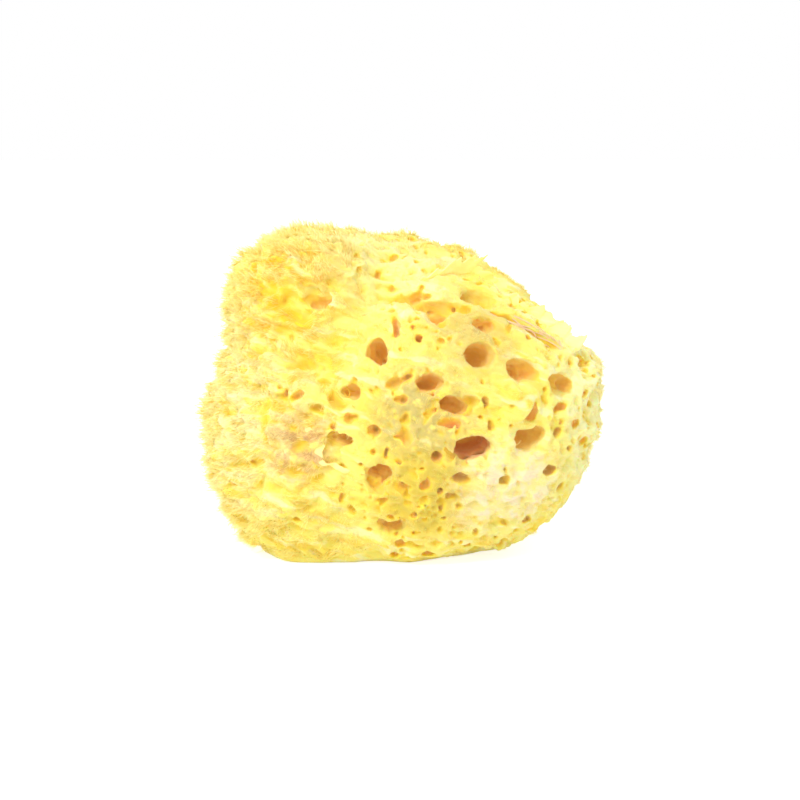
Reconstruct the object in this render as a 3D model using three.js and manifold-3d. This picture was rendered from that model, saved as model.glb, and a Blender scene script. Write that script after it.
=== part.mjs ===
// A natural sea sponge, dried, as it is sold for the bath: one grown body of soft
// fibrous skeleton, with lobes, a crease under its crown, and round water canals that
// open on every side. It rests on the flat face where it was cut from the rock.
// Millimetres, +Z up, +X along the long side, -Y towards the front face.

import * as THREE from "three";
import { mergeVertices } from "three/addons/utils/BufferGeometryUtils.js";
import { ImprovedNoise } from "three/addons/math/ImprovedNoise.js";
import Module from "manifold-3d";

// Driving dimensions.
const LENGTH = 150; // overall, along X
const MIDDLE = new THREE.Vector3(0, 0, 60); // heart of the body, which the skin surrounds
const DIVISIONS = 16; // of each edge of the icosahedron that the skin is drawn on
const JOINING = 16; // how sharply neighbouring lobes meet: higher is a sharper crease
const SWELL = 1.8; // height of the slow unevenness of the skin
const SWELL_SPACING = 21; // distance over which that unevenness changes
const KNOBBLE = 1.3; // height of the closer unevenness
const KNOBBLE_SPACING = 9;
const CANAL_SIDES = 10;
const CANAL_LEAD = 12; // how far a canal's cutter stands out of the skin
const CANAL_FLARE = 1.18; // width of the mouth against the canal's throat

// Each lobe is an ellipsoid: its centre and half sizes, before the base is cut.
const LOBES = [
  { name: "main mass", centre: [17, -10, 51], half: [57, 45, 52] },
  { name: "left mass", centre: [-29, -4, 49], half: [45, 46, 44] },
  { name: "upper left lobe", centre: [-33, 4, 91], half: [35, 38, 34] },
  { name: "crown", centre: [-2, 12, 77], half: [55, 42, 40] },
  { name: "foot lobe", centre: [-34, -13, 28], half: [33, 36, 31] },
  { name: "middle of the foot", centre: [-6, -12, 30], half: [40, 36, 33] },
  { name: "right shoulder", centre: [54, -4, 67], half: [20, 26, 13] },
  { name: "back bulge", centre: [8, 24, 42], half: [50, 34, 42] },
];

// Each groove runs along straight steps between points just under the skin.
const GROOVES = [
  {
    name: "crease under the crown",
    deep: 5.5,
    wide: 4,
    points: [[-34, -30, 99], [-22, -28, 103], [-10, -24, 102], [-2, -23, 98], [7, -29, 94], [16, -39, 89]],
  },
  {
    name: "slit under the torn skin",
    deep: 4,
    wide: 3.2,
    points: [[37, -30, 93], [47, -30, 87], [56, -30, 80]],
  },
];

// Each canal opens where its bearing meets the skin. Bearing 0 is the front face
// (-Y) and 90 is the right side (+X); rise is measured from MIDDLE, up from level.
// Wide and tall are the throat's size, and lean turns a long mouth off level.
const CANALS = [
  { bearing: 25, rise: -12, wide: 12.5, tall: 6.8, lean: 5, deep: 34 },
  { bearing: 31, rise: 20, wide: 10.5, tall: 8.5, lean: 0, deep: 26 },
  { bearing: -11, rise: 26, wide: 5.5, tall: 11, lean: 18, deep: 22 },
  { bearing: 12, rise: 11, wide: 8.5, tall: 5.5, lean: 0, deep: 20 },
  { bearing: 20, rise: 3, wide: 10, tall: 6, lean: -22, deep: 22 },
  { bearing: 44, rise: -9, wide: 10.5, tall: 7.5, lean: 12, deep: 22 },
  { bearing: 45, rise: 12, wide: 12, tall: 7.5, lean: -10, deep: 18 },
  { bearing: 57, rise: 7, wide: 11.5, tall: 7.5, lean: 12, deep: 13 },
  { bearing: -23, rise: 7, wide: 8, tall: 8.5, lean: 0, deep: 18 },
  { bearing: -38, rise: 5, wide: 9.5, tall: 5.5, lean: 20, deep: 18 },
  { bearing: -23, rise: -11, wide: 8.5, tall: 5.5, lean: -12, deep: 16 },
  { bearing: -8, rise: -25, wide: 10.5, tall: 7, lean: 10, deep: 18 },
  { bearing: -4, rise: -44, wide: 9, tall: 5.5, lean: 0, deep: 16 },
  { bearing: 49, rise: 45, wide: 12.5, tall: 8.5, lean: -24, deep: 13 },
  { bearing: 24, rise: 44, wide: 12.5, tall: 5.5, lean: -16, deep: 11 },
  { bearing: 40, rise: 32, wide: 10, tall: 5.5, lean: -10, deep: 8 },
  { bearing: -45, rise: 43, wide: 9, tall: 6, lean: 0, deep: 13 },
  { bearing: 95, rise: -6, wide: 12, tall: 10, lean: 30, deep: 26 },
  { bearing: 120, rise: 20, wide: 12, tall: 8, lean: 0, deep: 24 },
  { bearing: 148, rise: -12, wide: 11, tall: 11, lean: 0, deep: 28 },
  { bearing: 176, rise: 12, wide: 12.5, tall: 9, lean: -15, deep: 30 },
  { bearing: 205, rise: -18, wide: 10, tall: 8, lean: 15, deep: 24 },
  { bearing: 232, rise: 14, wide: 12, tall: 9, lean: 0, deep: 22 },
  { bearing: 262, rise: -10, wide: 10, tall: 12, lean: 8, deep: 22 },
  { bearing: 150, rise: 62, wide: 12.5, tall: 10, lean: 0, deep: 22 },
  { bearing: 262, rise: 66, wide: 11, tall: 8, lean: 40, deep: 18 },
];

const wasm = await Module();
wasm.setup();

// A closed three.js geometry as a solid that can be joined and cut.
function solid(geometry) {
  const bare = geometry.index ? geometry.toNonIndexed() : geometry.clone();
  bare.deleteAttribute("normal");
  bare.deleteAttribute("uv");
  const merged = mergeVertices(bare, 1e-4);
  return new wasm.Manifold(
    new wasm.Mesh({
      numProp: 3,
      vertProperties: merged.getAttribute("position").array,
      triVerts: new Uint32Array(merged.index.array),
    }),
  );
}

// A solid back as a three.js geometry, moved by offset.
function geometryOf(made, offset) {
  const { numProp, vertProperties, triVerts } = made.getMesh();
  const count = vertProperties.length / numProp;
  const points = new Float32Array(count * 3);
  for (let i = 0; i < count; i++) {
    points.set(vertProperties.subarray(i * numProp, i * numProp + 3), i * 3);
  }
  const geometry = new THREE.BufferGeometry();
  geometry.setAttribute("position", new THREE.BufferAttribute(points, 3));
  geometry.setIndex(new THREE.BufferAttribute(new Uint32Array(triVerts), 1));
  geometry.translate(offset.x, offset.y, offset.z);
  geometry.computeVertexNormals();
  return geometry;
}

// How far out of MIDDLE one lobe reaches along a unit direction, or 0 where it doesn't.
function reachOf({ centre, half }, outward) {
  const size = new THREE.Vector3(...half);
  const from = MIDDLE.clone().sub(new THREE.Vector3(...centre)).divide(size);
  const along = outward.clone().divide(size);
  const a = along.lengthSq();
  const b = from.dot(along);
  const inside = b * b - a * (from.lengthSq() - 1);
  return inside > 0 ? Math.max(0, (Math.sqrt(inside) - b) / a) : 0;
}

// How far all the lobes reach together: a soft maximum, which rounds their creases.
function reach(outward) {
  const sum = LOBES.reduce((all, lobe) => all + reachOf(lobe, outward) ** JOINING, 0);
  return sum ** (1 / JOINING);
}

const noise = new ImprovedNoise();

// How far the skin stands out at a point, from two sizes of unevenness.
function unevenness(point) {
  const at = (spacing) =>
    noise.noise(point.x / spacing, point.y / spacing, point.z / spacing);
  return SWELL * at(SWELL_SPACING) + KNOBBLE * at(KNOBBLE_SPACING);
}

// How deep a groove lies at a point of the skin.
function grooveDepth({ points, deep, wide }, point) {
  const nearest = new THREE.Vector3();
  let gap = Infinity;
  for (let i = 1; i < points.length; i++) {
    const ends = [points[i - 1], points[i]].map((p) => new THREE.Vector3(...p));
    new THREE.Line3(...ends).closestPointToPoint(point, true, nearest);
    gap = Math.min(gap, nearest.distanceTo(point));
  }
  return deep * Math.exp(-((gap / wide) ** 2));
}

// The whole skin, with its lobes, unevenness and grooves, and no canal yet.
function skinGeometry() {
  const geometry = new THREE.IcosahedronGeometry(1, DIVISIONS);
  const position = geometry.getAttribute("position");
  const outward = new THREE.Vector3();
  const point = new THREE.Vector3();
  for (let i = 0; i < position.count; i++) {
    outward.fromBufferAttribute(position, i).normalize();
    point.copy(MIDDLE).addScaledVector(outward, reach(outward));
    const grooves = GROOVES.map((groove) => grooveDepth(groove, point));
    const sunk = Math.max(...grooves);
    point.addScaledVector(outward, unevenness(point) - sunk);
    position.setXYZ(i, point.x, point.y, point.z);
  }
  return geometry;
}

// The space above the cut: what lies under z = 0 was left on the rock.
function aboveTheCut() {
  const box = new THREE.BoxGeometry(2 * LENGTH, 2 * LENGTH, 2 * LENGTH);
  return solid(box.translate(0, 0, LENGTH));
}

// The way out of MIDDLE at a bearing and a rise, in degrees.
function heading({ bearing, rise }) {
  const turn = THREE.MathUtils.degToRad(bearing);
  const up = THREE.MathUtils.degToRad(rise);
  return new THREE.Vector3(
    Math.sin(turn) * Math.cos(up),
    -Math.cos(turn) * Math.cos(up),
    Math.sin(up),
  );
}

// Where a line from outside towards MIDDLE meets the skin.
function skinPoint(skin, outward) {
  const outside = MIDDLE.clone().addScaledVector(outward, LENGTH);
  const inward = outward.clone().negate();
  return new THREE.Raycaster(outside, inward).intersectObject(skin)[0].point;
}

// One canal's cutter: a flared mouth, a straight throat and a rounded end.
function canal(skin, { wide, tall, lean, deep, ...way }) {
  const outward = heading(way);
  const profile = [
    [0, -deep],
    [0.4, -deep * 0.92],
    [0.5, -deep * 0.6],
    [0.5, -3],
    [0.5 * CANAL_FLARE, 0],
    [0.5 * CANAL_FLARE, CANAL_LEAD],
    [0, CANAL_LEAD],
  ].map(([radius, height]) => new THREE.Vector2(radius, height));
  const geometry = new THREE.LatheGeometry(profile, CANAL_SIDES);
  geometry.scale(wide, 1, tall);
  geometry.rotateY(THREE.MathUtils.degToRad(lean));
  // The profile's height lies along the way out, and its tall side stays upright.
  const across = new THREE.Vector3(0, 0, 1).cross(outward).normalize();
  const upright = new THREE.Vector3().crossVectors(outward, across);
  const turn = new THREE.Matrix4().makeBasis(across, outward, upright.negate());
  geometry.applyMatrix4(turn);
  const mouth = skinPoint(skin, outward);
  geometry.translate(mouth.x, mouth.y, mouth.z);
  return solid(geometry);
}

function sponge() {
  const cut = solid(skinGeometry()).intersect(aboveTheCut());
  const skin = new THREE.Mesh(geometryOf(cut, new THREE.Vector3()));
  const open = CANALS.reduce((body, way) => body.subtract(canal(skin, way)), cut);
  // The body is centred over its footprint, with the cut face at z = 0.
  const { min, max } = open.boundingBox();
  const offset = new THREE.Vector3(-(min[0] + max[0]) / 2, -(min[1] + max[1]) / 2, 0);
  const finish = new THREE.MeshStandardMaterial({
    color: 0xf0cf5a,
    roughness: 0.95,
    metalness: 0,
  });
  const mesh = new THREE.Mesh(geometryOf(open, offset), finish);
  mesh.name = "sponge";
  return mesh;
}

const part = new THREE.Group();
part.add(sponge());

export default part;
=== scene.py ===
import math

import bpy
import numpy as np
from mathutils import Matrix, Vector
from mathutils.bvhtree import BVHTree


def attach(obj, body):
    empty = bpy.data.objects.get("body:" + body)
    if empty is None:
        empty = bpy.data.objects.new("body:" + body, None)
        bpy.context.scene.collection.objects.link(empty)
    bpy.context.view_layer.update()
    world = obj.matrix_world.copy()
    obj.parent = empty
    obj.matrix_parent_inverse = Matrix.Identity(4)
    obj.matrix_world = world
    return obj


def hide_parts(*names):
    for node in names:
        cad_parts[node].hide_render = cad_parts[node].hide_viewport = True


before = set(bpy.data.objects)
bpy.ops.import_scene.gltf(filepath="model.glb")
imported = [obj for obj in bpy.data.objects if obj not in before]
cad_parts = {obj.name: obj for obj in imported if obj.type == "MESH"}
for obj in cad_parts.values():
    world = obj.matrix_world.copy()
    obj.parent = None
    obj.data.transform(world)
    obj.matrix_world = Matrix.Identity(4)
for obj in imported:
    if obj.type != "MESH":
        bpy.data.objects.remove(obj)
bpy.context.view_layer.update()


# The setting. The sponge stands on a white table that glows faintly, as a light table does,
# in a bright white room with one large soft window at the upper left, so it is lit almost
# evenly and the table washes out. The camera looks a little down at the front face.
def deselect():
    bpy.ops.object.select_all(action="DESELECT")


def plain_finish(name, colour, roughness):
    """A new material of one colour, with its shader."""
    finish = bpy.data.materials.new(name)
    finish.use_nodes = True
    shader = finish.node_tree.nodes["Principled BSDF"]
    shader.inputs["Base Color"].default_value = (*colour, 1)
    shader.inputs["Roughness"].default_value = roughness
    return finish, shader


EYE_DISTANCE = 0.721
EYE_RISE = math.radians(10)
AIM = Vector((0, 0, 0.0555))

deselect()
bpy.ops.mesh.primitive_plane_add(size=6, location=(0, 0, 0))
table = bpy.context.object
table.name = "table"
white, white_shader = plain_finish("glowing white table", (0.92, 0.92, 0.92), 0.9)
white_shader.inputs["Emission Color"].default_value = (1, 1, 1, 1)
table.data.materials.append(white)

room = bpy.data.worlds.new("white room")
room.use_nodes = True
walls = room.node_tree.nodes["Background"]
walls.inputs["Color"].default_value = (1, 1, 1, 1)
bpy.context.scene.world = room


def seen_and_shone(tree, seen, shone, strength):
    """Sets a strength that the eye sees, and another one that lights what stands around."""
    ray = tree.nodes.new("ShaderNodeLightPath").outputs["Is Camera Ray"]
    brightness = tree.nodes.new("ShaderNodeMapRange")
    brightness.inputs["To Min"].default_value = shone
    brightness.inputs["To Max"].default_value = seen
    tree.links.new(ray, brightness.inputs["Value"])
    tree.links.new(brightness.outputs[0], strength)


# Both look pure white, and send out less light than that, to leave the folds their shade.
seen_and_shone(room.node_tree, 1.0, 0.78, walls.inputs["Strength"])
seen_and_shone(white.node_tree, 0.7, 0.12, white_shader.inputs["Emission Strength"])

bpy.ops.object.light_add(type="AREA", location=(-0.40, -0.77, 0.86))
window = bpy.context.object
window.name = "window"
window.data.shape = "DISK"
window.data.size = 0.5
window.data.energy = 8.1
window.rotation_euler = (AIM - window.location).to_track_quat("-Z", "Y").to_euler()

bpy.ops.object.camera_add()
eye = bpy.context.object
eye.name = "eye"
eye.data.lens = 85
eye.data.sensor_width = 36
way = Vector((0, -math.cos(EYE_RISE), math.sin(EYE_RISE)))
eye.location = AIM + EYE_DISTANCE * way
eye.rotation_euler = (-way).to_track_quat("-Z", "Y").to_euler()
bpy.context.scene.camera = eye
bpy.context.scene.view_settings.view_transform = "Standard"


# The body: one skeleton of soft fibre that grew as a whole, with nothing fixed to it.
# Its large shape is the frame's. Here it gets its folds and tufts, the openings of its
# canals, and the hundreds of small pores that open all over a dried sponge.
MM = 0.001
HEART = Vector((0, 0, 60)) * MM


def only(piece):
    """Selects this piece alone."""
    deselect()
    piece.select_set(True)
    bpy.context.view_layer.objects.active = piece


def finish_with(piece, kind, **settings):
    """Adds one modifier and applies it."""
    modifier = piece.modifiers.new(kind.lower(), kind)
    for name, value in settings.items():
        setattr(modifier, name, value)
    only(piece)
    bpy.ops.object.modifier_apply(modifier=modifier.name)


def node(tree, kind, inputs=None, **settings):
    """One node of a tree, with its settings, and its inputs given values or wired up."""
    made = tree.nodes.new(kind)
    for name, value in settings.items():
        setattr(made, name, value)
    for name, value in (inputs or {}).items():
        if isinstance(value, bpy.types.NodeSocket):
            tree.links.new(value, made.inputs[name])
        else:
            made.inputs[name].default_value = value
    return made.outputs


def shape_tree(name):
    """An empty geometry tree, with its way in and a function that closes it."""
    tree = bpy.data.node_groups.new(name, "GeometryNodeTree")
    tree.interface.new_socket("Geometry", in_out="INPUT", socket_type="NodeSocketGeometry")
    tree.interface.new_socket("Geometry", in_out="OUTPUT", socket_type="NodeSocketGeometry")
    way_in = tree.nodes.new("NodeGroupInput").outputs[0]
    return tree, way_in


def close_tree(tree, result):
    tree.links.new(result, tree.nodes.new("NodeGroupOutput").inputs[0])


def maths(tree, operation, *values):
    """A math node's result."""
    return node(tree, "ShaderNodeMath", dict(enumerate(values)), operation=operation)[0]


def vectors(tree, operation, *values):
    """A vector math node's first result."""
    return node(tree, "ShaderNodeVectorMath", dict(enumerate(values)), operation=operation)[0]


def ease(tree, value, low, high, start=0.0, end=1.0):
    """Goes smoothly from start to end as value goes from low to high."""
    inputs = {"Value": value, "From Min": low, "From Max": high, "To Min": start, "To Max": end}
    return node(tree, "ShaderNodeMapRange", inputs, interpolation_type="SMOOTHSTEP")[0]


def place_of(tree):
    """The place of a point, and its X, Y and Z."""
    place = node(tree, "GeometryNodeInputPosition")[0]
    return place, node(tree, "ShaderNodeSeparateXYZ", {0: place})


def near(tree, place, centre, inner, outer):
    """1 within inner mm of a centre, and 0 past outer mm."""
    ends = {0: place, 1: Vector(centre) * MM}
    gap = node(tree, "ShaderNodeVectorMath", ends, operation="DISTANCE")["Value"]
    return ease(tree, gap, inner * MM, outer * MM, 1, 0)


def swirl(tree, place, size, amount):
    """The place, pushed about by a slow noise, so that what is drawn on it wanders."""
    noise = node(tree, "ShaderNodeTexNoise", {"Vector": place, "Scale": 1 / size, "Detail": 1.0})[1]
    push = vectors(tree, "SCALE", vectors(tree, "SUBTRACT", noise, (0.5, 0.5, 0.5)))
    push.node.inputs["Scale"].default_value = 2 * amount
    return vectors(tree, "ADD", place, push)


def wave(tree, place, size, detail, height):
    """A noise of a size, centred on nothing, as high as height."""
    inputs = {"Vector": place, "Scale": 1 / size, "Detail": detail, "Roughness": 0.55}
    noise = node(tree, "ShaderNodeTexNoise", inputs)[0]
    return maths(tree, "MULTIPLY", maths(tree, "SUBTRACT", noise, 0.5), 2 * height)


def copy_of(original, name):
    made = original.copy()
    made.data = original.data.copy()
    made.name = name
    made.parent = None
    made.hide_render = made.hide_viewport = False
    bpy.context.scene.collection.objects.link(made)
    return made


body = copy_of(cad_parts["sponge"], "sponge_body")
only(body)
bpy.ops.object.mode_set(mode="EDIT")
bpy.ops.mesh.select_all(action="SELECT")
bpy.ops.mesh.remove_doubles(threshold=1e-6)
bpy.ops.object.mode_set(mode="OBJECT")
finish_with(body, "REMESH", mode="VOXEL", voxel_size=0.75 * MM)
finish_with(body, "SMOOTH", factor=0.5, iterations=14)
skin = BVHTree.FromObject(body, bpy.context.evaluated_depsgraph_get())

# Each stroke is drawn by a thumb along the skin: its points in mm, how far it raises the
# skin there (sinks it, below zero), and how wide it is.
STROKES = (
    ("brow", ((-24, -34, 97), (-12, -33, 96), (-2, -34, 93), (8, -39, 88), (18, -44, 82)), 3.0, 5),
    ("slanting fold", ((-2, -46, 81), (17, -51, 74), (32, -53, 67), (50, -46, 62)), 2.0, 5.5),
    ("hollow of the front", ((-3, -54, 64), (14, -56, 60)), -1.8, 9),
    ("cheek", ((-20, -46, 76), (-10, -46, 74)), 1.6, 8),
    ("upper cheek", ((-27, -36, 93), (-18, -36, 92)), 1.2, 6),
    ("torn flap", ((-34, -51, 52), (-29, -52, 41), (-23, -51, 35)), 2.2, 3),
    ("behind the flap", ((-40, -49, 52), (-36, -50, 40)), -2.5, 4.5),
    ("top of the upper left", ((-42, 0, 121), (-26, -2, 124)), -2.4, 12),
    ("waist", ((-68, -14, 90), (-66, -12, 82), (-68, -14, 76)), -3.6, 9),
    ("outer side of the upper left", ((-60, -6, 110), (-68, -8, 98), (-71, -8, 84)), -3.4, 14),
    ("top of the crown", ((-14, 0, 121), (8, 2, 118)), -2.2, 12),
    ("behind the torn skin", ((10, 3, 117), (20, 4, 113), (30, 4, 109), (44, 2, 101)), -5.4, 10),
    ("first cup", ((27, -28, 101), (34, -26, 98)), -3.5, 5),
    ("second cup", ((11, -38, 98), (22, -40, 95)), -3.0, 4),
    ("third cup", ((30, -41, 91), (37, -39, 89)), -2.6, 3.6),
    ("lip under the first cup", ((18, -45, 84), (30, -46, 79)), 1.2, 4),
    ("hollow of the upper left", ((-46, -22, 101), (-40, -28, 100)), -3.6, 3.8),
    ("hollow by the crease", ((-39, -33, 96), (-35, -34, 95)), -4.4, 4.6),
    ("hollow under it", ((-44, -34, 90), (-41, -36, 88)), -3.4, 3.6),
    ("hollow of the left lobe", ((-52, -22, 96), (-50, -25, 95)), -3.2, 3.4),
    ("hollow of the left side", ((-40, -40, 81), (-36, -42, 79)), -4.0, 4.0),
    ("hollow over the cheek", ((-22, -37, 88), (-15, -38, 86)), -2.8, 3.0),
    ("hollow of the waist", ((-42, -45, 61), (-37, -47, 58)), -3.8, 4.2),
    ("hollow by the ridge", ((-33, -48, 57), (-28, -49, 56)), -3.6, 3.8),
    ("arch over the foot", ((-16, -54, 36), (-6, -56, 41), (3, -55, 37), (12, -55, 36)), 1.2, 3),
)


def sculpt(piece, strokes):
    """Moves the skin out of the heart, or in towards it, along each stroke."""
    count = len(piece.data.vertices)
    places = np.empty(3 * count, np.float32)
    piece.data.vertices.foreach_get("co", places)
    places = places.reshape(-1, 3)
    outward = places - np.array(HEART, np.float32)
    outward /= np.linalg.norm(outward, axis=1)[:, None]
    rise = np.zeros(count)
    for _, points, height, width in strokes:
        line = np.array(points) * MM
        gap = np.full(count, np.inf)
        for start, end in zip(line, line[1:]):
            along = np.clip((places - start) @ (end - start) / np.sum((end - start) ** 2), 0, 1)
            gap = np.minimum(gap, np.linalg.norm(places - start - np.outer(along, end - start), axis=1))
        rise += height * MM * np.exp(-((gap / (width * MM)) ** 2))
    places += outward * rise[:, None].astype(np.float32)
    piece.data.vertices.foreach_set("co", places.ravel())
    piece.data.update()


sculpt(body, STROKES)


def busy_of(tree, place):
    """1 where the front is full of pits: its middle, its foot and patches elsewhere."""
    noise = node(tree, "ShaderNodeTexNoise", {"Vector": place, "Scale": 1 / (22 * MM)})[0]
    middle = near(tree, place, (9, -56, 62), 10, 22)
    foot = near(tree, place, (2, -54, 32), 14, 30)
    patches = ease(tree, noise, 0.38, 0.62)
    return maths(tree, "MAXIMUM", maths(tree, "MAXIMUM", middle, foot), patches)


def streaks_of(tree, place):
    """The place, squeezed so that what is drawn on it runs in streaks down to the right."""
    wandering = swirl(tree, place, 12 * MM, 3 * MM)
    turned = node(tree, "ShaderNodeVectorRotate", {"Vector": wandering, "Angle": math.radians(-18)},
                  rotation_type="Y_AXIS")[0]
    return vectors(tree, "MULTIPLY", turned, (0.35, 0.8, 1.5))


def relief_tree():
    """Folds, knobs and bowls all over, streaks, and combed tufts on the left, none on the cut."""
    tree, way_in = shape_tree("relief")
    place, (x, _, z) = place_of(tree)
    wandering = swirl(tree, place, 12 * MM, 3 * MM)
    upper_left = near(tree, place, (-18, -20, 108), 10, 26)
    tufted = maths(tree, "MAXIMUM", ease(tree, x, -12 * MM, -34 * MM), upper_left)
    folds = wave(tree, wandering, 15 * MM, 1.5, 2.4 * MM)
    knobs = wave(tree, wandering, 5 * MM, 2.0, 1.2 * MM)
    cells = {"Vector": wandering, "Scale": 1 / (8 * MM), "Smoothness": 0.25}
    bowls = node(tree, "ShaderNodeTexVoronoi", cells, feature="SMOOTH_F1")["Distance"]
    bowls = maths(tree, "MULTIPLY", ease(tree, bowls, 0.15, 0.62, -1, 0.35), 1.1 * MM)
    cells = {"Vector": swirl(tree, place, 4 * MM, 1.2 * MM), "Scale": 1 / (3.6 * MM)}
    pits = node(tree, "ShaderNodeTexVoronoi", cells)["Distance"]
    pits = maths(tree, "MULTIPLY", ease(tree, pits, 0.1, 0.6, -0.9, 0.5), 1.3 * MM)
    pitted = maths(tree, "MULTIPLY", busy_of(tree, place), ease(tree, tufted, 0, 1, 1, 0.3))
    pits = maths(tree, "MULTIPLY", pits, pitted)
    streaks = wave(tree, streaks_of(tree, place), 4 * MM, 2.0, 1.0 * MM)
    strands = wave(tree, streaks_of(tree, place), 2 * MM, 1.0, 0.7 * MM)
    combed = vectors(tree, "MULTIPLY", wandering, (0.5, 0.8, 1.35))
    tufts = maths(tree, "MULTIPLY", wave(tree, combed, 6 * MM, 2.0, 5.4 * MM), tufted)
    off_cut = ease(tree, z, 0.3 * MM, 4 * MM)
    height = maths(tree, "MULTIPLY", tufted, -2.2 * MM)
    for part in (folds, knobs, bowls, pits, streaks, strands, tufts):
        height = maths(tree, "ADD", height, part)
    offset = vectors(tree, "SCALE", node(tree, "GeometryNodeInputNormal")[0])
    tree.links.new(maths(tree, "MULTIPLY", height, off_cut), offset.node.inputs["Scale"])
    # The top is pressed down by two fifths of what stands over 118 mm.
    over = maths(tree, "MAXIMUM", 0.0, maths(tree, "SUBTRACT", z, 118 * MM))
    down = node(tree, "ShaderNodeCombineXYZ", {2: maths(tree, "MULTIPLY", over, -0.4)})[0]
    offset = vectors(tree, "ADD", offset, down)
    close_tree(tree, node(tree, "GeometryNodeSetPosition", {"Geometry": way_in, "Offset": offset})[0])
    return tree


finish_with(body, "NODES", node_group=relief_tree())

# The openings that show most: bearing from the front and rise from the heart in degrees,
# width, height, lean and depth in mm. Two that overlap make one opening of uneven shape.
OPENINGS = (
    (25, -11, 14.6, 7.8, 5, 26),
    (31, 20, 11.2, 9.4, 0, 22), (28, 21, 6, 6, 0, 12),
    (-11, 28, 6, 7, 10, 16), (-9, 24, 5.8, 9, 15, 18),
    (12, 12, 9.4, 6, 0, 14),
    (20, 3, 10.4, 6.2, -24, 18), (24, 4.5, 7, 4, -10, 7),
    (43, -9, 10.6, 7.4, 8, 17), (46, -7, 6, 6, 30, 12),
    (44, 13, 13, 8, -14, 9), (47, 11, 6, 5, 0, 12),
    (57, 7, 11.5, 7.6, 8, 8), (60, 6, 5, 6, 0, 11),
    (69, 11, 6, 4, 0, 6),
    (54, 0, 6, 3.4, 0, 7),
    (60, -5, 4.5, 3.6, 0, 6),
    (-21, 8, 6.6, 5.4, 10, 6), (-19, 7, 4, 5, 0, 7),
    (-38, 5, 8, 3.6, 22, 6), (-42, 3, 5, 3, 0, 5),
    (-31, 1, 6, 4.4, 0, 6),
    (-22, -10, 9, 5.4, -14, 11),
    (-8, -23, 10.6, 6.6, 8, 13),
    (-4, -43, 9, 4.8, -4, 12),
    (48, 44, 15, 10, -22, 8),
    (22, 45, 14, 6.4, -14, 6), (30, 44, 8, 6, -20, 5),
    (39, 32, 10, 5.6, -10, 4.5),
    (-45, 43, 9, 5.4, 0, 9),
    (-60, 37, 8, 4.2, 10, 6), (-54, 33, 8, 4, 24, 7), (-47, 28, 7, 3.8, -10, 7),
    (11, 53, 7, 4, 20, 6),
    (-26, -46, 11, 5, 0, 3.5), (39, -38, 9, 6, 25, 3),
    (22, -22, 8, 4, -4, 5), (51, -18, 5.4, 4.6, 0, 5), (44, 0, 5, 8, 10, 5),
    (9, 30, 3.4, 3.4, 0, 7), (-2, 36, 2.6, 7, 5, 5),
    (-20, -2, 3, 4.6, 0, 6), (-10, -7, 5.4, 4.6, -30, 7), (-23, -20, 4, 2, 0, 5),
    (-9, -28, 6, 4, 8, 6), (1, -26, 4.6, 4.4, 0, 5), (9, -25, 4.6, 4.4, 0, 5),
    (15, -27, 3.2, 2.8, 0, 5), (19, -29, 2.4, 3.8, -20, 5), (13, -15, 4, 3.8, 0, 7),
    (0, -50, 4.6, 3.6, 0, 5), (33, -49, 3.6, 3.4, 0, 4), (52, -36, 4, 3, 0, 4),
    (36, -21, 5, 4.4, 0, 4), (1, 5, 3.8, 3.2, 10, 6), (10, 0, 3.8, 2.4, 0, 5),
    (2, -2, 3, 3.8, 0, 5), (-1, -9, 3.8, 1.8, 0, 5), (-20, -35, 3.6, 7, 30, 5),
    (29, 4, 2.4, 5, 15, 5),
    (95, -6, 12.5, 10.5, 30, 18), (120, 20, 12.5, 8.5, 0, 17), (148, -12, 11.5, 11.5, 0, 20),
    (176, 12, 13, 9.5, -15, 22), (205, -18, 10.5, 8.5, 15, 17), (232, 14, 12.5, 9.5, 0, 16),
    (262, -10, 10.5, 12.5, 8, 16), (150, 62, 13, 10.5, 0, 15), (262, 66, 11.5, 8.5, 40, 13),
)


def facing(bearing, rise):
    """The way out of the heart at a bearing and a rise, in degrees."""
    turn, up = math.radians(bearing), math.radians(rise)
    return Vector((math.sin(turn) * math.cos(up), -math.cos(turn) * math.cos(up), math.sin(up)))


def add_cutter(mouth, outward, wide, tall, lean, deep):
    """One egg-shaped cutter, its middle at the mouth and its long end inwards."""
    across = Vector((0, 0, 1)).cross(outward).normalized()
    upright = outward.cross(across)
    turn = Matrix((across, upright, outward)).transposed() @ Matrix.Rotation(math.radians(lean), 3, "Z")
    bpy.ops.mesh.primitive_ico_sphere_add(
        subdivisions=3, radius=MM, location=mouth, rotation=turn.to_euler(),
        scale=(wide / 2, tall / 2, deep),
    )
    return bpy.context.object


def mouth_of(outward, ring):
    """Where a way out of the heart leaves the skin, measured on a ring around any hole there."""
    across = Vector((0, 0, 1)).cross(outward).normalized()
    upright = outward.cross(across)
    depths = []
    for i in range(12):
        turn = i * math.pi / 6
        aside = ring * (math.cos(turn) * across + math.sin(turn) * upright)
        way = (0.058 * outward + aside).normalized()
        hit = skin.ray_cast(HEART + 0.15 * way, -way)[0]
        depths.append((hit - HEART).dot(outward))
    return HEART + sorted(depths)[7] * outward


def add_opening(bearing, rise, wide, tall, lean, deep):
    """The cutter of one opening."""
    outward = facing(bearing, rise)
    mouth = mouth_of(outward, (0.62 * max(wide, tall) + 2) * MM)
    if abs(bearing) < 70:
        outward = (outward + Vector((0, -0.8, 0.1))).normalized()
    return add_cutter(mouth, outward, wide, tall, lean, deep)


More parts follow.
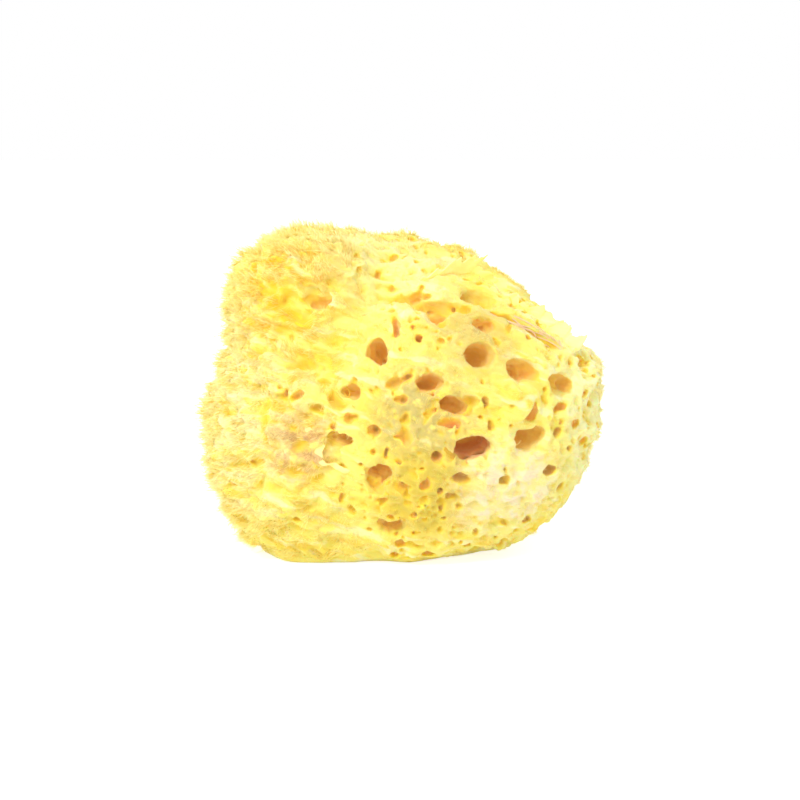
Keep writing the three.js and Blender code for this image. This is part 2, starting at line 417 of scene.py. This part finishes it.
# The furrows between folds: points in mm, width and depth.
FURROWS = (
    (((-36, -31, 98), (-22, -28, 103), (-10, -24, 102), (-2, -23, 98), (7, -29, 94), (16, -39, 89)),
     3.2, 5.2),
    (((36, -31, 94), (47, -31, 87), (57, -30, 80)), 2.6, 5),
    (((-50, -42, 64), (-52, -44, 54), (-51, -45, 44)), 3.0, 6.5),
    (((-35, -50, 51), (-32, -51, 42), (-24, -50, 36)), 2.2, 4),
    (((-72, -8, 75), (-64, -26, 76), (-52, -36, 80)), 2.4, 4),
    (((-66, -26, 60), (-56, -36, 61)), 2.0, 3.5),
    (((-64, -30, 34), (-50, -40, 30)), 2.0, 3.5),
)


def furrow_cutters(points, thick, deep, step=2.2 * MM):
    """A string of cutters along a furrow, each flattened along it."""
    line = [Vector(point) * MM for point in points]
    made = []
    for start, end in zip(line, line[1:]):
        lean = math.degrees(math.atan2((end - start).z, math.hypot((end - start).x, (end - start).y)))
        lean = lean if end.x > start.x else -lean
        count = max(1, round((end - start).length / step))
        for i in range(count):
            outward = (start.lerp(end, i / count) - HEART).normalized()
            made.append(add_cutter(mouth_of(outward, 5 * MM), outward, 4.5, thick, lean, deep))
    return made


def join_all(pieces, name):
    """Joins pieces in one, at the origin."""
    deselect()
    for piece in pieces:
        piece.select_set(True)
    bpy.context.view_layer.objects.active = pieces[0]
    bpy.ops.object.join()
    bpy.ops.object.transform_apply(location=True, rotation=True, scale=True)
    pieces[0].name = name
    return pieces[0]


def roughen(piece, name, size, strength):
    """Pushes a skin in and out by a cloudy noise."""
    clouds = bpy.data.textures.new(name, "CLOUDS")
    clouds.noise_scale = size
    clouds.noise_depth = 1
    finish_with(piece, "DISPLACE", texture=clouds, texture_coords="LOCAL", strength=strength)


# Tufts half close two canals of the left side, and leave a hollow at the mouth of each.
plugs = []
for bearing, rise in ((-23, 7), (-38, 5)):
    outward = facing(bearing, rise)
    plugs.append(add_cutter(mouth_of(outward, 8 * MM) - 7 * MM * outward, outward, 14, 13, 0, 6))
plugs = join_all(plugs, "plugs")
finish_with(body, "BOOLEAN", object=plugs, operation="UNION", solver="MANIFOLD")
bpy.data.objects.remove(plugs)

cutters = [add_opening(*row) for row in OPENINGS]
for points, thick, deep in FURROWS:
    cutters += furrow_cutters(points, thick, deep)
openings = join_all(cutters, "openings")
finish_with(openings, "REMESH", mode="VOXEL", voxel_size=0.5 * MM)
roughen(openings, "uneven", 4 * MM, 1.3 * MM)


def pore_tree():
    """Egg-shaped cutters scattered over a skin, in three sizes."""
    tree, way_in = shape_tree("pores")
    place, (x, y, _) = place_of(tree)
    left = ease(tree, x, -12 * MM, -30 * MM, 1, 0.12)
    front = ease(tree, y, -42 * MM, -20 * MM, 0.12, 1)
    busy = busy_of(tree, place)
    smooth = near(tree, place, (38, -50, 72), 9, 20)
    for centre, inner, outer in (((0, -18, 114), 10, 32), ((48, -42, 30), 12, 30)):
        smooth = maths(tree, "MAXIMUM", smooth, near(tree, place, centre, inner, outer))
    left = maths(tree, "MULTIPLY", left, ease(tree, smooth, 0, 1, 1, 0.35))
    egg = node(tree, "GeometryNodeMeshIcoSphere", {"Radius": MM, "Subdivisions": 2})[0]
    sets = (
        # seed, spacing, share, radius from and to, depth against width
        (1, 12, maths(tree, "MULTIPLY", left, front), 1.3, 3.0, 2.2),
        (2, 4.4, maths(tree, "MULTIPLY", left, ease(tree, busy, 0, 1, 0.2, 0.85)), 0.7, 1.7, 2.2),
        (3, 2.2, maths(tree, "MULTIPLY", left, ease(tree, busy, 0, 1, 0.1, 0.8)), 0.45, 0.95, 2.4),
    )
    joined = tree.nodes.new("GeometryNodeJoinGeometry")
    for seed, spacing, share, least, most, depth in sets:
        spots = node(tree, "GeometryNodeDistributePointsOnFaces", {
            "Mesh": way_in, "Distance Min": spacing * MM, "Density Max": 4 / (spacing * MM) ** 2,
            "Density Factor": share, "Seed": seed}, distribute_method="POISSON")

        def draw(low, high, salt):
            inputs = {2: low, 3: high, "Seed": 10 * seed + salt}
            return node(tree, "FunctionNodeRandomValue", inputs, data_type="FLOAT")[1]

        radius = ease(tree, maths(tree, "POWER", draw(0, 1, 1), 1.6), 0, 1, least, most)
        radius.node.interpolation_type = "LINEAR"
        scale = node(tree, "ShaderNodeCombineXYZ", {
            0: maths(tree, "MULTIPLY", radius, draw(0.9, 1.7, 2)),
            1: maths(tree, "MULTIPLY", radius, draw(0.6, 1.0, 3)),
            2: maths(tree, "MULTIPLY", radius, draw(0.5 * depth, 1.3 * depth, 4))})[0]
        spin = node(tree, "ShaderNodeCombineXYZ", {2: draw(0, math.pi, 5)})[0]
        spin = node(tree, "FunctionNodeEulerToRotation", {0: spin})[0]
        turn = node(tree, "FunctionNodeRotateRotation", {
            "Rotation": spots["Rotation"], "Rotate By": spin}, rotation_space="LOCAL")[0]
        eggs = node(tree, "GeometryNodeInstanceOnPoints", {
            "Points": spots["Points"], "Instance": egg, "Rotation": turn, "Scale": scale})[0]
        tree.links.new(eggs, joined.inputs[0])
    close_tree(tree, node(tree, "GeometryNodeRealizeInstances", {0: joined.outputs[0]})[0])
    return tree


pores = copy_of(body, "pores")
finish_with(pores, "NODES", node_group=pore_tree())
openings = join_all([openings, pores], "openings")
finish_with(openings, "REMESH", mode="VOXEL", voxel_size=0.4 * MM)
roughen(openings, "ragged", 2 * MM, 0.9 * MM)
finish_with(body, "BOOLEAN", object=openings, operation="DIFFERENCE", solver="MANIFOLD")
bpy.data.objects.remove(openings)
finish_with(body, "REMESH", mode="VOXEL", voxel_size=0.5 * MM)
finish_with(body, "SMOOTH", factor=0.5, iterations=2)
BODY_TRIANGLES = 198000
triangles = sum(len(face.vertices) - 2 for face in body.data.polygons)
finish_with(body, "DECIMATE", ratio=BODY_TRIANGLES / triangles)


def openness_tree(name, rays, reach):
    """How open each point is within reach, from 0 to 1, by rays sent out to all sides."""
    tree, way_in = shape_tree(name)
    place, _ = place_of(tree)
    normal = node(tree, "GeometryNodeInputNormal")[0]
    off_skin = node(tree, "ShaderNodeVectorMath", {0: normal, "Scale": 0.15 * MM}, operation="SCALE")[0]
    start = vectors(tree, "ADD", place, off_skin)
    total = 0.0
    for ray in range(rays):
        spread = node(tree, "FunctionNodeRandomValue", {0: (-1, -1, -1), 1: (1, 1, 1), "Seed": ray},
                      data_type="FLOAT_VECTOR")[0]
        aim = vectors(tree, "ADD", normal, vectors(tree, "NORMALIZE", spread))
        hit = node(tree, "GeometryNodeRaycast", {"Target Geometry": way_in, "Source Position": start,
                                                 "Ray Direction": aim, "Ray Length": reach})
        clear = maths(tree, "DIVIDE", hit["Hit Distance"], reach)
        missed = node(tree, "FunctionNodeBooleanMath", {0: hit["Is Hit"]}, operation="NOT")[0]
        total = maths(tree, "ADD", total, maths(tree, "MAXIMUM", missed, clear))
    share = maths(tree, "DIVIDE", total, rays)
    soft = node(tree, "GeometryNodeBlurAttribute", {"Iterations": 2, 0: share})[0]
    close_tree(tree, node(tree, "GeometryNodeStoreNamedAttribute", {
        "Geometry": way_in, "Name": name, "Value": soft}, data_type="FLOAT", domain="POINT")[0])
    return tree


# The openness within 40 mm and within 8 mm are also what the finish paints its shade and glow by.
finish_with(body, "NODES", node_group=openness_tree("open", 24, 40 * MM))
finish_with(body, "NODES", node_group=openness_tree("crease", 20, 8 * MM))
only(body)
bpy.ops.object.shade_smooth()


def colours(tree, value, stops):
    """A ramp of colours along a value."""
    made = tree.nodes.new("ShaderNodeValToRGB")
    ramp = made.color_ramp
    ramp.elements.remove(ramp.elements[1])
    for at, colour in stops:
        stop = ramp.elements[0] if at == stops[0][0] else ramp.elements.new(at)
        stop.position = at
        stop.color = (*colour, 1)
    tree.links.new(value, made.inputs[0])
    return made.outputs[0]


def blend_colours(tree, share, first, second, blend_type="MIX"):
    """Goes from the first colour to the second as share goes from 0 to 1."""
    made = tree.nodes.new("ShaderNodeMix")
    made.data_type = "RGBA"
    made.blend_type = blend_type
    for socket, value in ((0, share), (6, first), (7, second)):
        if isinstance(value, bpy.types.NodeSocket):
            tree.links.new(value, made.inputs[socket])
        else:
            made.inputs[socket].default_value = value
    return made.outputs[2]


def noise_of(tree, place, size, detail, low, high, amount):
    """Patches of a size, from 0 to amount where a noise goes from low to high."""
    inputs = {"Vector": place, "Scale": 1 / (size * MM), "Detail": detail}
    return ease(tree, node(tree, "ShaderNodeTexNoise", inputs)[0], low, high, 0, amount)


def fibre_finish(name, soaking, glow):
    """The finish of sponge fibre. Light spreads under its skin by soaking, or glows in it."""
    finish, shader = plain_finish(name, (0.9, 0.7, 0.2), 0.9)
    shader.inputs["Specular IOR Level"].default_value = 0.1
    shader.inputs["Subsurface Weight"].default_value = soaking
    shader.inputs["Subsurface Radius"].default_value = (1.0, 0.65, 0.3)
    shader.inputs["Subsurface Scale"].default_value = 0.003
    tree = finish.node_tree
    place = node(tree, "ShaderNodeTexCoord")["Object"]
    how_open = node(tree, "ShaderNodeAttribute", attribute_name="open")["Fac"]
    how_crisp = node(tree, "ShaderNodeAttribute", attribute_name="crease")["Fac"]
    along = node(tree, "ShaderNodeAttribute", attribute_name="tip")["Fac"]
    streaks = streaks_of(tree, place)
    paint = (0.95, 0.82, 0.21, 1)
    for size, detail, low, high, amount, colour in (
        (9, 3.0, 0.50, 0.66, 0.8, (0.94, 0.72, 0.09)),
        (4, 3.0, 0.54, 0.70, 0.6, (0.93, 0.65, 0.07)),
        (6, 2.0, 0.46, 0.30, 0.9, (0.96, 0.88, 0.46)),
    ):
        share = noise_of(tree, streaks, size, detail, low, high, amount)
        paint = blend_colours(tree, share, paint, (*colour, 1))
    # The middle of the front is painted grey in patches and its foot darker, both as painted shade;
    # the right side is painted paler, as painted light; a painted shade lies under the cups of the
    # upper right, and a rosy brown painted shadow behind the torn flap at the lower left. The lower
    # right is rosy, the crown and the left side are pale, and the upper left is golden.
    patchy = noise_of(tree, place, 5, 2.0, 0.42, 0.60, 0.9)
    golden = noise_of(tree, streaks, 7, 2.0, 0.42, 0.58, 0.95)
    wisps = noise_of(tree, streaks, 5, 2.0, 0.40, 0.58, 0.9)
    # The next two are patches of painted shade: grey in the middle of the front, rosy brown behind the
    # torn flap.
    grey_shade_patches = noise_of(tree, place, 4, 3.0, 0.30, 0.52, 0.95)
    flap_shadow_patches = noise_of(tree, place, 5, 2.0, 0.30, 0.55, 0.95)
    for centre, inner, outer, share, colour in (
        ((-70, -20, 55), 26, 56, wisps, (0.96, 0.87, 0.48)),
        # painted shade: grey patches over the middle of the front
        ((8, -56, 58), 8, 28, grey_shade_patches, (0.60, 0.49, 0.17)),
        # painted shade: the foot of the front darker
        ((8, -56, 30), 10, 28, 0.85, (0.66, 0.51, 0.07)),
        # painted light: the right side paler, where the window's light is weak
        ((76, -6, 58), 24, 48, 0.95, (1.0, 0.94, 0.50)),
        # painted shade under the cups of the upper right
        ((26, -40, 86), 6, 26, 0.85, (0.72, 0.56, 0.15)),
        ((-36, -26, 98), 16, 36, golden, (0.92, 0.60, 0.03)),
        ((38, -46, 32), 8, 28, 0.5, (0.95, 0.83, 0.46)),
        ((38, -46, 32), 8, 27, patchy, (0.92, 0.79, 0.56)),
        ((-4, -14, 116), 14, 44, 0.6, (0.96, 0.87, 0.42)),
        # painted shadow behind the torn flap, in patches of rosy brown
        ((-37, -52, 47), 6, 18, flap_shadow_patches, (0.70, 0.44, 0.20)),
    ):
        share = maths(tree, "MULTIPLY", near(tree, place, centre, inner, outer), share)
        paint = blend_colours(tree, share, paint, (*colour, 1))
    # Painted shade: creases and small hollows are painted darker and more amber the less open they are
    # within 8 mm.
    crease_shade = colours(tree, how_crisp, (
        (0.34, (0.58, 0.37, 0.06)), (0.55, (0.80, 0.53, 0.06)),
        (0.76, (0.93, 0.69, 0.07)), (0.92, (0.95, 0.78, 0.14))))
    paint = blend_colours(tree, ease(tree, how_crisp, 0.98, 0.72, 0, 0.9), paint, crease_shade)
    # Painted shade and light in the canals: their walls are painted more orange the deeper they lie,
    # standing in for the shade and the light that soaks through, and the deepest canal of the front
    # darker red.
    inside = colours(tree, how_open, (
        (0.08, (0.96, 0.62, 0.28)), (0.3, (0.96, 0.66, 0.20)), (0.5, (0.93, 0.66, 0.10))))
    deepest_canal_shade = near(tree, place, (23, -48, 47), 8, 13)
    inside = blend_colours(tree, deepest_canal_shade, inside, (0.86, 0.40, 0.17, 1))
    paint = blend_colours(tree, ease(tree, how_open, 0.62, 0.34), paint, inside)
    # Painted highlight: the tips of bristles, and the torn sheets half as much, are painted paler, as
    # if lit from behind.
    paint = blend_colours(tree, ease(tree, along, 0.1, 1.0, 0, 0.65), paint, (0.98, 0.93, 0.52, 1))
    # Painted shade in the pits: the small pits of the middle are painted browner than that, and the
    # shallow hollows at the lower right get a fainter painted shade.
    small = maths(tree, "MULTIPLY", near(tree, place, (8, -56, 48), 22, 40),
                  ease(tree, how_crisp, 0.52, 0.36, 0, 0.65))
    paint = blend_colours(tree, small, paint, (0.50, 0.36, 0.12, 1))
    shallow_pit_shade = maths(tree, "MULTIPLY", near(tree, place, (42, -42, 30), 20, 34),
                    ease(tree, how_crisp, 0.8, 0.5, 0, 0.75))
    paint = blend_colours(tree, shallow_pit_shade, paint, (0.66, 0.47, 0.20, 1))
    tree.links.new(paint, shader.inputs["Base Color"])
    # Light soaks through the skeleton, so the walls of a canal glow a little.
    lit = maths(tree, "MULTIPLY", ease(tree, how_open, 0.5, 0.22), ease(tree, deepest_canal_shade, 0, 1, 1, 0.3))
    lit = maths(tree, "MULTIPLY", lit, ease(tree, small, 0, 1, 1, 0.4))
    # Painted glow: the bristles and sheets glow faintly, four times as much at their tips, as if lit
    # from behind.
    tip_glow = blend_colours(tree, ease(tree, along, 0, 1), (*glow, 1), (*(4 * part for part in glow), 1))
    shine = blend_colours(tree, lit, tip_glow, (0.095, 0.055, 0.012, 1))
    tree.links.new(shine, shader.inputs["Emission Color"])
    shader.inputs["Emission Strength"].default_value = 1.0
    shader.inputs["Sheen Weight"].default_value = 0.5
    shader.inputs["Sheen Roughness"].default_value = 0.5
    shader.inputs["Sheen Tint"].default_value = (1.0, 0.92, 0.55, 1)
    grain = {"Vector": streaks, "Scale": 1 / (1.1 * MM), "Detail": 3.0}
    grain = node(tree, "ShaderNodeTexNoise", grain)[0]
    bump = node(tree, "ShaderNodeBump", {"Height": grain, "Strength": 0.6, "Distance": 0.6 * MM})[0]
    tree.links.new(bump, shader.inputs["Normal"])
    return finish


fibre = fibre_finish("sponge fibre", 1.0, (0, 0, 0))
# The bristles get a faint painted glow.
bristles = fibre_finish("sponge bristles", 0.0, (0.105, 0.074, 0.017))


def finish_piece(piece, finish):
    """Gives a piece its finish and its place in the frame."""
    piece.data.materials.clear()
    piece.data.materials.append(finish)
    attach(piece, "root")
    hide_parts("sponge")


finish_piece(body, fibre)


# The torn skin: thin sheets of the outer skin along the upper right edge, and a flap at the
# lower left, split from the body where it was pulled off its neighbours, and still grown to
# it along their feet.
cut_body = BVHTree.FromObject(body, bpy.context.evaluated_depsgraph_get())

# Foot in mm, heights along it in mm, the way it leans, and a seed for its torn edge.
SHEETS = (
    (((7, -22, 103), (16, -17, 105), (26, -12, 105)), (2, 7, 12, 11), (0.5, -0.2, 0.3), 1),
    (((24, -12, 105), (33, -12, 103), (40, -13, 100)), (5.5, 6, 4), (0.9, -0.2, 0.1), 2),
    (((33, -20, 101), (40, -20, 98), (46, -21, 94)), (1.5, 3, 4, 2), (0.5, -0.3, 0.2), 3),
    (((44, -21, 95), (52, -23, 89), (58, -25, 83)), (3, 5.5, 7, 5), (0.2, 0.1, 0.6), 4),
    (((52, -26, 86), (59, -26, 81), (65, -24, 76)), (4, 6.5, 5.5, 7, 3), (0.1, 0.1, 0.9), 5),
    (((-37, -50, 53), (-33, -52, 45), (-28, -53, 39), (-19, -53, 34)),
     (1.5, 3.6, 3.8, 3.0, 1.2), (2.6, -0.1, 0.8), 6),
)


def on_skin(point, sunk):
    """The place on the finished skin outwards of a point, sunk by some mm."""
    outward = (Vector(point) * MM - HEART).normalized()
    return cut_body.ray_cast(HEART + 0.15 * outward, -outward)[0] - sunk * MM * outward, outward


def set_values(piece, **values):
    """Gives every point of a piece the values that its finish reads."""
    for name, value in values.items():
        held = piece.data.attributes.new(name, "FLOAT", "POINT")
        held.data.foreach_set("value", np.full(len(piece.data.vertices), value, np.float32))


def torn_sheet(name, foot, heights, lean, seed):
    """One thin sheet, grown out of the skin along its foot, with a ragged edge."""
    deselect()
    bpy.ops.mesh.primitive_grid_add(x_subdivisions=36, y_subdivisions=8, size=1)
    made = bpy.context.object
    made.name = name
    chance = np.random.default_rng(seed)
    coarse = chance.random(10)
    fine = chance.random(37)
    marks = np.linspace(0, 1, len(foot))
    for vertex in made.data.vertices:
        along, up = vertex.co.x + 0.5, vertex.co.y + 0.5
        place, outward = on_skin([np.interp(along, marks, axis) for axis in zip(*foot)], 1.2)
        torn = 0.55 * np.interp(along, np.linspace(0, 1, 10), coarse) + 0.35 * fine[round(36 * along)]
        tall = float(np.interp(along, np.linspace(0, 1, len(heights)), heights) * (1.15 - torn))
        growing = (outward + up * Vector(lean)).normalized()
        side = outward.cross(Vector((1, 0, -0.5))).normalized()
        wavy = 0.9 * up * math.sin(9 * along + seed) + 0.5 * up * math.sin(23 * along + 2 * seed)
        vertex.co = place + MM * ((tall + 1.2) * up * growing + wavy * side)
    finish_with(made, "SOLIDIFY", thickness=0.5 * MM, offset=0)
    finish_with(made, "SUBSURF", levels=1, render_levels=1)
    # tip=0.5 gives the sheets a half-strength painted highlight and glow.
    set_values(made, open=1.0, crease=0.97, tip=0.5)
    only(made)
    bpy.ops.object.shade_smooth()
    return made


sheets = [torn_sheet("sheet", *row) for row in SHEETS]
torn_skin = join_all(sheets, "torn_skin")
finish_piece(torn_skin, bristles)


# The threads: rosy strands of the skeleton laid bare over the slit beside the torn skin, each
# a thin round strand held at both ends, and golden ones teased out of the left and upper left.
def thread(points, thick, lift):
    """One strand through places on the skin, its ends in the skin and its middle lifted off."""
    bpy.ops.curve.primitive_bezier_curve_add()
    made = bpy.context.object
    line = made.data
    line.splines.clear()
    spline = line.splines.new("NURBS")
    spline.points.add(len(points) - 1)
    for i, point in enumerate(points):
        raised = lift * math.sin(math.pi * i / (len(points) - 1))
        place, _ = on_skin(point, 0.5 - raised)
        spline.points[i].co = (*place, 1)
    spline.order_u = 3
    spline.use_endpoint_u = True
    line.resolution_u = 4
    line.bevel_depth = thick / 2 * MM
    line.bevel_resolution = 1
    line.use_fill_caps = True
    deselect()
    made.select_set(True)
    bpy.context.view_layer.objects.active = made
    bpy.ops.object.convert(target="MESH")
    return bpy.context.object


def laid_bare(name, start, end, count, spread, thick, seed):
    """Strands that cross one another between two places."""
    chance = np.random.default_rng(seed)
    made = []
    for _ in range(count):
        first, last = sorted(chance.random(2))
        last = max(last, min(1, first + 0.3))
        ends = [np.array(start) + part * (np.array(end) - np.array(start)) for part in (first, last)]
        ends = [place + spread * chance.uniform(-1, 1, 3) for place in ends]
        middle = (ends[0] + ends[1]) / 2 + 0.6 * spread * chance.uniform(-1, 1, 3)
        made.append(thread([ends[0], middle, ends[1]], thick * chance.uniform(0.7, 1.3), 1.6))
    return join_all(made, name)


rosy_threads = laid_bare("rosy_threads", (33, -31, 96), (60, -29, 80), 16, 3.5, 0.5, 3)
golden_threads = join_all([
    laid_bare("threads", (-37, -12, 116), (-27, -28, 102), 14, 3.5, 0.36, 10),
    laid_bare("threads", (-50, -16, 113), (-42, -22, 108), 10, 3.0, 0.36, 11),
    laid_bare("threads", (-45, -36, 93), (-34, -38, 87), 12, 3.0, 0.36, 12),
    laid_bare("threads", (-28, -46, 70), (-18, -48, 64), 10, 2.6, 0.36, 13),
    laid_bare("threads", (-25, -50, 53), (-17, -51, 47), 8, 2.4, 0.36, 14),
], "golden_threads")
for piece, name, colour in (
    (rosy_threads, "rosy fibre", (0.93, 0.66, 0.40)),
    (golden_threads, "golden fibre", (0.92, 0.64, 0.10)),
):
    finish, shader = plain_finish(name, colour, 0.8)
    shader.inputs["Specular IOR Level"].default_value = 0.1
    finish_piece(piece, finish)


# The fibres: ends of the same skeleton that stand out of the skin as fuzz, longest where the
# left side is teased into tufts, each a thin tapered bristle grown out of the body.
def bristle(name, sides, radius, height, bend, segments):
    """One bent bristle, from its root at the origin to its tip."""
    deselect()
    bpy.ops.mesh.primitive_circle_add(vertices=sides, radius=radius, fill_type="NGON")
    made = bpy.context.object
    made.name = name
    bpy.ops.object.mode_set(mode="EDIT")
    bpy.ops.mesh.select_all(action="SELECT")
    for i in range(1, segments + 1):
        aside = bend * ((i / segments) ** 2 - ((i - 1) / segments) ** 2)
        step = (aside, 0, height / segments)
        bpy.ops.mesh.extrude_region_move(TRANSFORM_OT_translate={"value": step})
        if i < segments:
            thinner = 1 - 0.6 / segments
            bpy.ops.transform.resize(value=(thinner, thinner, 1))
    bpy.ops.mesh.merge(type="CENTER")
    bpy.ops.mesh.select_all(action="SELECT")
    bpy.ops.mesh.normals_make_consistent(inside=False)
    bpy.ops.object.mode_set(mode="OBJECT")
    bpy.ops.object.shade_smooth()
    # The tip value, 0 at the root and 1 at the tip, is what the finish paints its highlight and glow
    # by.
    tips = made.data.attributes.new("tip", "FLOAT", "POINT")
    tips.data.foreach_set("value", [max(0, vertex.co.z / height) for vertex in made.data.vertices])
    return made


def fibre_tree(name, strand, tall, seed, per_area, left_share, other_share, lift, size):
    """Bristles scattered over a skin, combed away from the middle of the front.

    Per_area is how many stand on a square mm. The shares are what of them grows on the left
    and elsewhere. Lift raises them off the skin, and size is their length off the left.
    """
    tree, way_in = shape_tree(name)
    place, (x, y, z) = place_of(tree)
    share = ease(tree, z, 1.5 * MM, 4 * MM)
    for name, low, high, least in (("open", 0.55, 0.85, 0), ("crease", 0.76, 0.94, 0.06)):
        held = node(tree, "GeometryNodeInputNamedAttribute", {"Name": name}, data_type="FLOAT")[0]
        share = maths(tree, "MULTIPLY", share, ease(tree, held, low, high, least, 1))
    upper_left = near(tree, place, (-28, -18, 106), 10, 22)
    left = maths(tree, "MAXIMUM", ease(tree, x, -10 * MM, -32 * MM), upper_left)
    behind = ease(tree, y, -5 * MM, 20 * MM, 0, 0.6)
    rim = ease(tree, x, 60 * MM, 73 * MM, 0, 0.6)
    fluff = maths(tree, "MAXIMUM", left, maths(tree, "MAXIMUM", behind, rim))
    tufts = {"Vector": streaks_of(tree, place), "Scale": 1 / (4 * MM), "Detail": 2.0}
    tufts = ease(tree, node(tree, "ShaderNodeTexNoise", tufts)[0], 0.36, 0.58, 0.15, 1)
    share = maths(tree, "MULTIPLY", share, ease(tree, fluff, 0, 1, other_share, left_share))
    share = maths(tree, "MULTIPLY", share, tufts)
    spots = node(tree, "GeometryNodeDistributePointsOnFaces", {
        "Mesh": way_in, "Density": maths(tree, "MULTIPLY", share, per_area / MM ** 2), "Seed": seed},
        distribute_method="RANDOM")
    away = vectors(tree, "MULTIPLY", vectors(tree, "SUBTRACT", place, (0.012, 0, 0.06)), (22, 4, 14))
    clumps = {"Vector": place, "Scale": 1 / (9 * MM), "Detail": 2.0}
    clumps = node(tree, "ShaderNodeTexNoise", clumps)[1]
    wander = vectors(tree, "SCALE", vectors(tree, "SUBTRACT", clumps, (0.5, 0.5, 0.5)))
    wander.node.inputs["Scale"].default_value = 7.0
    comb = vectors(tree, "ADD", away, wander)
    stray = node(tree, "FunctionNodeRandomValue", {0: (-1, -1, -1), 1: (1, 1, 1), "Seed": seed + 50},
                 data_type="FLOAT_VECTOR")[0]
    stray = vectors(tree, "SCALE", stray)
    stray.node.inputs["Scale"].default_value = 0.45
    comb = vectors(tree, "ADD", vectors(tree, "NORMALIZE", comb), stray)
    lifted = vectors(tree, "SCALE", spots["Normal"])
    outer = maths(tree, "MAXIMUM", ease(tree, x, -42 * MM, -62 * MM), ease(tree, z, 104 * MM, 118 * MM))
    tree.links.new(ease(tree, outer, 0, 1, lift, 2.2 * lift), lifted.node.inputs["Scale"])
    aim = vectors(tree, "ADD", vectors(tree, "NORMALIZE", comb), lifted)
    turn = node(tree, "FunctionNodeAlignRotationToVector", {"Vector": aim}, axis="Z")[0]
    inward = vectors(tree, "SCALE", spots["Normal"])
    inward.node.inputs["Scale"].default_value = -1.0
    turn = node(tree, "FunctionNodeAlignRotationToVector", {"Rotation": turn, "Vector": inward},
                axis="X", pivot_axis="Z")[0]
    long = {2: 0.5, 3: 1.25, "Seed": seed + 70}
    long = node(tree, "FunctionNodeRandomValue", long, data_type="FLOAT")[1]
    for factor in (ease(tree, fluff, 0, 1, size, 0.8), tufts, ease(tree, outer, 0, 1, 1, 1.6)):
        long = maths(tree, "MULTIPLY", long, factor)
    # No tip reaches under the table, or past the frame's own size by more than a few mm.
    for room_left in (
        maths(tree, "ADD", x, 79.2 * MM), maths(tree, "SUBTRACT", 59.4 * MM, y),
        maths(tree, "SUBTRACT", 126.5 * MM, z), maths(tree, "SUBTRACT", z, 0.8 * MM),
    ):
        long = maths(tree, "MINIMUM", long, maths(tree, "DIVIDE", room_left, tall))
    thick = {2: 0.7, 3: 1.2, "Seed": seed + 90}
    thick = node(tree, "FunctionNodeRandomValue", thick, data_type="FLOAT")[1]
    scale = node(tree, "ShaderNodeCombineXYZ", {0: thick, 1: thick, 2: long})[0]
    one = node(tree, "GeometryNodeObjectInfo", {"Object": strand})["Geometry"]
    grown = node(tree, "GeometryNodeInstanceOnPoints", {
        "Points": spots["Points"], "Instance": one, "Rotation": turn, "Scale": scale})[0]
    close_tree(tree, node(tree, "GeometryNodeRealizeInstances", {0: grown})[0])
    return tree


def grow(name, strand, *settings):
    """One piece of bristles all over the body."""
    piece = copy_of(body, name)
    finish_with(piece, "NODES", node_group=fibre_tree(name, strand, *settings))
    finish_piece(piece, bristles)
    return piece


FUZZ = 2.8 * MM
strand = bristle("bristle", 3, 0.07 * MM, FUZZ, 0.9 * MM, 2)
for seed in range(1, 5):
    grow("fuzz_%d" % seed, strand, FUZZ, seed, 0.84, 1.0, 0.34, 0.5, 0.6)
bpy.data.objects.remove(strand)
TEASED = 5 * MM
teased = bristle("teased strand", 3, 0.12 * MM, TEASED, 2.2 * MM, 4)
grow("teased", teased, TEASED, 11, 0.44, 1.0, 0.01, 0.45, 0.6)
bpy.data.objects.remove(teased)
